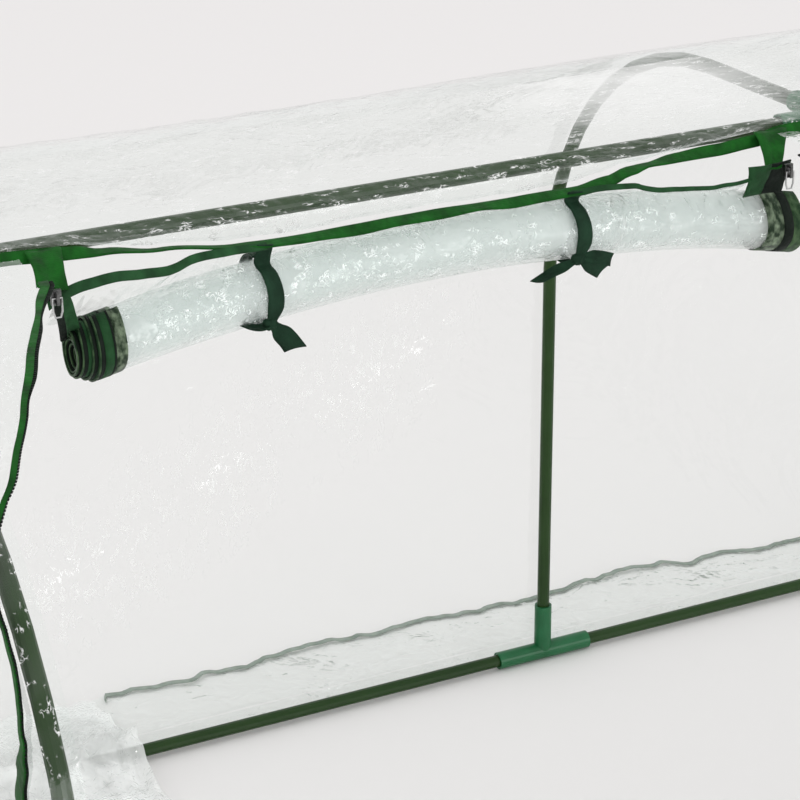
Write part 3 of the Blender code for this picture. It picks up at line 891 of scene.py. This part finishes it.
# Bound and taped side edges of a rolled door, from its end inwards: name, slot, paint, thickness, insets.
ROLL_EDGES = {
    # Bands with the rim paint carry painted highlights along the roll's end edges.
    "outer": [("highlit_rim", "binding", "highlit_rim", 0.0017, (0.0, 0.0005, 0.0011)),
              ("tape", "tape", "tape", 0.0012, (0.001, 0.0028, 0.0046)),
              ("edge", "binding", "binding_dark", 0.0016, (0.0045, 0.008, 0.0118)),
              ("teeth", "tape", "tape", 0.0019, (0.0118, 0.0126, 0.0134)),
              ("veiled", "binding", "veiled", 0.0013, (0.0134, 0.018, 0.0225))],
    "inner": [("edge", "binding", "highlit_rim", 0.0019, (0.0, 0.002, 0.007, 0.012)),
              ("teeth", "tape", "tape", 0.002, (0.012, 0.0165, 0.0215)),
              ("veiled", "binding", "veiled", 0.0013, (0.0215, 0.027, 0.033, 0.038))],
}


def build_roll(end, sign):
    """The rolled-up door: wound film with bound and taped side edges, the inner turns pushed outwards."""
    body = f"door_{end}"
    seed = 50.0 + sign
    turns = spiral_rows([(share, 0.0) for share in steps(-0.999, 0.999, 44)], sign, seed)
    film = grid(f"door_film_{end}", turns, "film_roll")
    finish_piece(film, body, [f"door_roll_{end}"])
    for kind in ("inner", "outer"):
        for label, slot, paint, thick, insets in ROLL_EDGES[kind]:
            turns = spiral_rows([(AWAY[kind], inset) for inset in insets], sign, seed, 0.0002)
            band = grid(f"door_{label}_{end}_{kind}", turns, paint, thick)
            finish_piece(band, body)


def apron_edge(x):
    """Where the free film meets the roll."""
    return Vector((x, ROLL_Y - ROLL_OUTER_R * math.cos(ROLL_START),
                   roll_height(x) + ROLL_OUTER_R * math.sin(ROLL_START)))


def door_top(x):
    """The line that the free film hangs from: the door's bound top edge, or the header between the ties."""
    for rows in DOOR_TOP.values():
        rows = sorted(rows)
        if rows[0][0] <= abs(x) <= rows[-1][0]:
            y, z = (between([(row[0], row[column]) for row in rows], abs(x)) for column in (1, 2))
            return Vector((x, y, z))
    return header_line(x)[0] + Vector((0, -0.003, -0.004))


def build_apron(end, sign):
    """Free film from the door's top edge down to the roll."""
    rows = []
    for x in steps(0.1325, 0.748, 84):
        top, foot = door_top(sign * x), apron_edge(sign * x)
        row = []
        for share in steps(0, 1, 8):
            point = top.lerp(foot, share)
            bulge = 0.1 * (top - foot).length * math.sin(math.pi * share)
            wrinkle = 0.0016 * crease(x * 2, share * 0.3, 60.0 + sign) * math.sin(math.pi * share)
            row.append(point + Vector((0, -0.8, 0.4)) * (bulge + wrinkle))
        rows.append(row)
    film = grid(f"door_apron_film_{end}", rows, "film")
    finish_blend(film, door_top(sign * 0.2).z - 0.002, [f"door_apron_{end}"])


def finish_blend(item, high, nodes=()):
    """Hide the CAD nodes that a piece stands for and bake its placement into its mesh."""
    if nodes:
        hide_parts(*nodes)
    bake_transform(item)


# Free sides of each door between its top corners and its roll: distances from the middle plane of the
# strip's two edges at the top and at the foot, then Y and Z at both.
DOOR_SIDE = {
    "outer": ((0.752, 0.735), (0.731, 0.715), (-0.0712, 0.769), (-0.03, 0.717)),
    "inner": ((0.136, 0.0925), (0.132, 0.095), (-0.0715, 0.7785), (-0.059, 0.748)),
}


def build_door_sides(end, sign):
    """The free ends of a door's bound and zipped sides, from its top corners into the roll."""
    for kind, (top, foot, (top_y, top_z), (foot_y, foot_z)) in DOOR_SIDE.items():
        rows = []
        for down in steps(0, 1, 14):
            row = []
            for share in steps(0, 1, 8):
                x = strip_x(top, foot, share, down)
                ruck = 0.0016 * math.sin(4 * share + 3 * down)
                ruck += 0.0014 * noise_at(x * 70, down * 4, 1.0)
                row.append(Vector((sign * x, top_y + (foot_y - top_y) * down ** 1.5 - ruck,
                                   top_z + (foot_z - top_z) * down)))
            rows.append(row)
        split = 3 if kind == "outer" else 4
        tape, cloth = [row[:split + 1] for row in rows], [row[split:] for row in rows]
        if kind == "inner":
            tape, cloth = cloth, tape
        for label, part, paint in (("tape", tape, "tape"), ("binding", cloth, "binding_dark")):
            item = grid(f"door_side_{label}_{end}_{kind}", part, paint, 0.0013)
            finish_blend(item, top_z)


def tie_loop(end, sign, kind):
    """A ribbon round the roll: the strap in front, the rest of its loop behind, and where its knot lies."""
    x = sign * TIE_X[end][kind]
    height = roll_height(x)
    radius = ROLL_R + 0.0014

    def on_roll(degrees, extra=0.0, shift=0.0):
        reach = radius + extra
        angle = math.radians(degrees)
        return Vector((x + shift, ROLL_Y - reach * math.cos(angle), height + reach * math.sin(angle)))

    top = header_line(x)[0] + Vector((0, -0.0045, 0.001))
    front = [on_roll(angle, 0.0006, -sign * 0.004 * math.cos(math.radians(angle * 1.6 - 10)))
             for angle in (64, 44, 24, 6, -10, -24)]
    knot = on_roll(-38, 0.0026, 0.001)
    path = along_path([top] + front + [knot], 0.0025)
    widths = [TIE_WIDTH * (1 - 0.5 * ease((index / len(path) - 0.74) / 0.26)) for index in range(len(path))]
    strap = ribbon(f"tie_{end}_{kind}_front", path, [Vector((w, 0, 0.12 * w * sign)) for w in widths], 0.0009,
                   "tie", 6)
    loop = [on_roll(degrees, -0.0002, 0.002) for degrees in range(-38, -282, -10)]
    back = ribbon(f"tie_{end}_{kind}_back", loop, [Vector((TIE_WIDTH * 0.8, 0, 0))] * len(loop), 0.0009,
                  "tie")
    return strap, back, knot, top


def tail(name, start, offsets, width, spin, slant):
    """One loose end of a ribbon that turns as it hangs; slant cuts its end at an angle."""
    path = along_path([start] + [start + Vector(offset) for offset in offsets], 0.0022)
    rows = []
    for index, (here, there) in enumerate(zip(path, path[1:] + [2 * path[-1] - path[-2]])):
        share = index / (len(path) - 1)
        run = (there - here).normalized()
        flat = run.cross(Vector((-0.41, -0.82, 0.4))).normalized()
        across = Matrix.Rotation(spin[0] + (spin[1] - spin[0]) * share, 3, run) @ flat
        half = width * (0.4 + 0.6 * ease(share * 2.2))
        row = []
        for place in steps(-0.5, 0.5, 6):
            curl = 0.1 * half * math.cos(place * math.pi)
            row.append(here + across * half * place + run * slant * place * share ** 3
                       + run.cross(across) * curl)
        rows.append(row)
    return grid(name, rows, "tie", 0.0009)


# Loose ends of each tie: points from the knot (x is towards the middle plane), then width, turn and slant.
TAILS = {
    "outer": [
        ([(0.004, -0.003, -0.004), (0.012, -0.005, -0.014), (0.018, -0.005, -0.023)],
         0.017, (0.5, 0.15), -0.006),
        ([(-0.006, -0.002, -0.001), (-0.014, 0.002, -0.001), (-0.021, 0.008, 0.001)],
         0.011, (0.9, 1.2), 0.0)],
    "inner": [
        ([(0.008, -0.003, 0.001), (0.019, -0.004, -0.001), (0.03, -0.003, -0.005)],
         0.012, (0.2, 0.5), 0.003),
        ([(0.005, -0.003, -0.003), (0.012, -0.004, -0.008), (0.021, -0.003, -0.014)],
         0.013, (-0.1, 0.2), -0.003),
        ([(-0.009, 0, -0.003), (-0.022, 0.002, -0.008), (-0.037, 0.004, -0.015)],
         0.01, (0.2, 0.9), 0.008)],
}
# Lobes of a knot: turn about Y, and half sizes.
LOBES = [(0.4, (0.007, 0.0036, 0.0048)), (-0.9, (0.006, 0.0034, 0.004)), (1.5, (0.0052, 0.004, 0.0036))]


def build_knot(name, place):
    """A small pulled-tight knot: three crossing lobes of ribbon."""
    bm = bmesh.new()
    for turn, size in LOBES:
        lobe = bmesh.ops.create_uvsphere(bm, u_segments=18, v_segments=12, radius=1.0)["verts"]
        for vert in lobe:
            squeeze = 1 + 0.22 * noise.noise(vert.co * 2.3 + Vector((turn, 0, 0)))
            grown = Vector([side * half for side, half in zip(vert.co, size)]) * squeeze
            vert.co = Matrix.Rotation(turn, 3, "Y") @ grown + place
    return object_from(name, bm, "tie")


def build_ties(end, sign):
    """Both ties of a door."""
    for kind in ("outer", "inner"):
        node = f"tie_{end}_{kind}"
        strap, back, knot, top = tie_loop(end, sign, kind)
        tails = []
        for index, (offsets, width, spin, slant) in enumerate(TAILS[kind]):
            mirrored = [(-sign * dx, dy, dz) for dx, dy, dz in offsets]
            turned = (spin[0] * -sign, spin[1] * -sign)
            tails.append(tail(f"{node}_tail_{index}", knot, mirrored, width, turned, slant * -sign))
        lump = build_knot(f"{node}_knot", knot)
        for piece in [back, lump] + tails:
            finish_piece(piece, f"door_{end}")
        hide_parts(node)
        finish_blend(strap, top.z - 0.001)


def build_doors():
    """Rolls, free film and ties of both doors."""
    for end, sign in SIDES:
        build_roll(end, sign)
        build_apron(end, sign)
        build_door_sides(end, sign)
        build_ties(end, sign)


# ---- studio

CAMERA_PLACE = (-1.3078, -1.7706, 1.449)
CAMERA_YAW = math.radians(26.45)
CAMERA_PITCH = math.radians(23.31)
CAMERA_ROLL = math.radians(0.27)
CAMERA_LENS = 115.4
FLOOR_HALF = 40.0
KEY_PLACE, KEY_TARGET = Vector((-0.9, 0.6, 3.4)), Vector((-0.2, 0, 0.3))
LOW_AIM = Vector((-1.25, 4.3, -0.55))


def build_camera():
    """The camera, low over the left bay's front."""
    data = bpy.data.cameras.new("camera")
    data.lens = CAMERA_LENS
    data.sensor_width = 36.0
    camera = add_object("camera", data)
    turn = (Matrix.Rotation(-CAMERA_YAW, 4, "Z") @ Matrix.Rotation(math.pi / 2 - CAMERA_PITCH, 4, "X")
            @ Matrix.Rotation(-CAMERA_ROLL, 4, "Z"))
    camera.matrix_world = Matrix.Translation(CAMERA_PLACE) @ turn
    bpy.context.scene.camera = camera


def add_light(name, kind, power, aim):
    """A light that shines in a direction."""
    data = bpy.data.lights.new(name, kind)
    data.energy = power
    light = add_object(name, data)
    light.rotation_euler = aim.to_track_quat("-Z", "Y").to_euler()
    return light


def build_studio():
    """Pale floor, even surroundings, a soft key light from above and a low sun from the front."""
    bm = bmesh.new()
    bmesh.ops.create_grid(bm, x_segments=1, y_segments=1, size=FLOOR_HALF)
    floor = object_from("floor", bm, "floor")
    floor.location.z = -0.0005
    scene = bpy.context.scene
    scene.world = bpy.data.worlds.new("surroundings")
    scene.world.use_nodes = True
    background = scene.world.node_tree.nodes["Background"]
    background.inputs["Color"].default_value = (0.955, 0.955, 0.95, 1.0)
    background.inputs["Strength"].default_value = 0.925
    key = add_light("key", "AREA", 7, KEY_TARGET - KEY_PLACE)
    key.location = KEY_PLACE
    key.data.size = 1.5
    key.visible_camera = False
    add_light("low_front", "SUN", 0.72, LOW_AIM).data.angle = math.radians(24)
    scene.view_settings.view_transform = "Standard"
    scene.cycles.transparent_max_bounces = 32


def main():
    """Dress the frame, build the soft pieces and set the studio."""
    dress_frame()
    build_back()
    build_ground()
    build_front()
    build_ends()
    build_header()
    build_zips()
    build_patches()
    build_doors()
    build_camera()
    build_studio()


main()
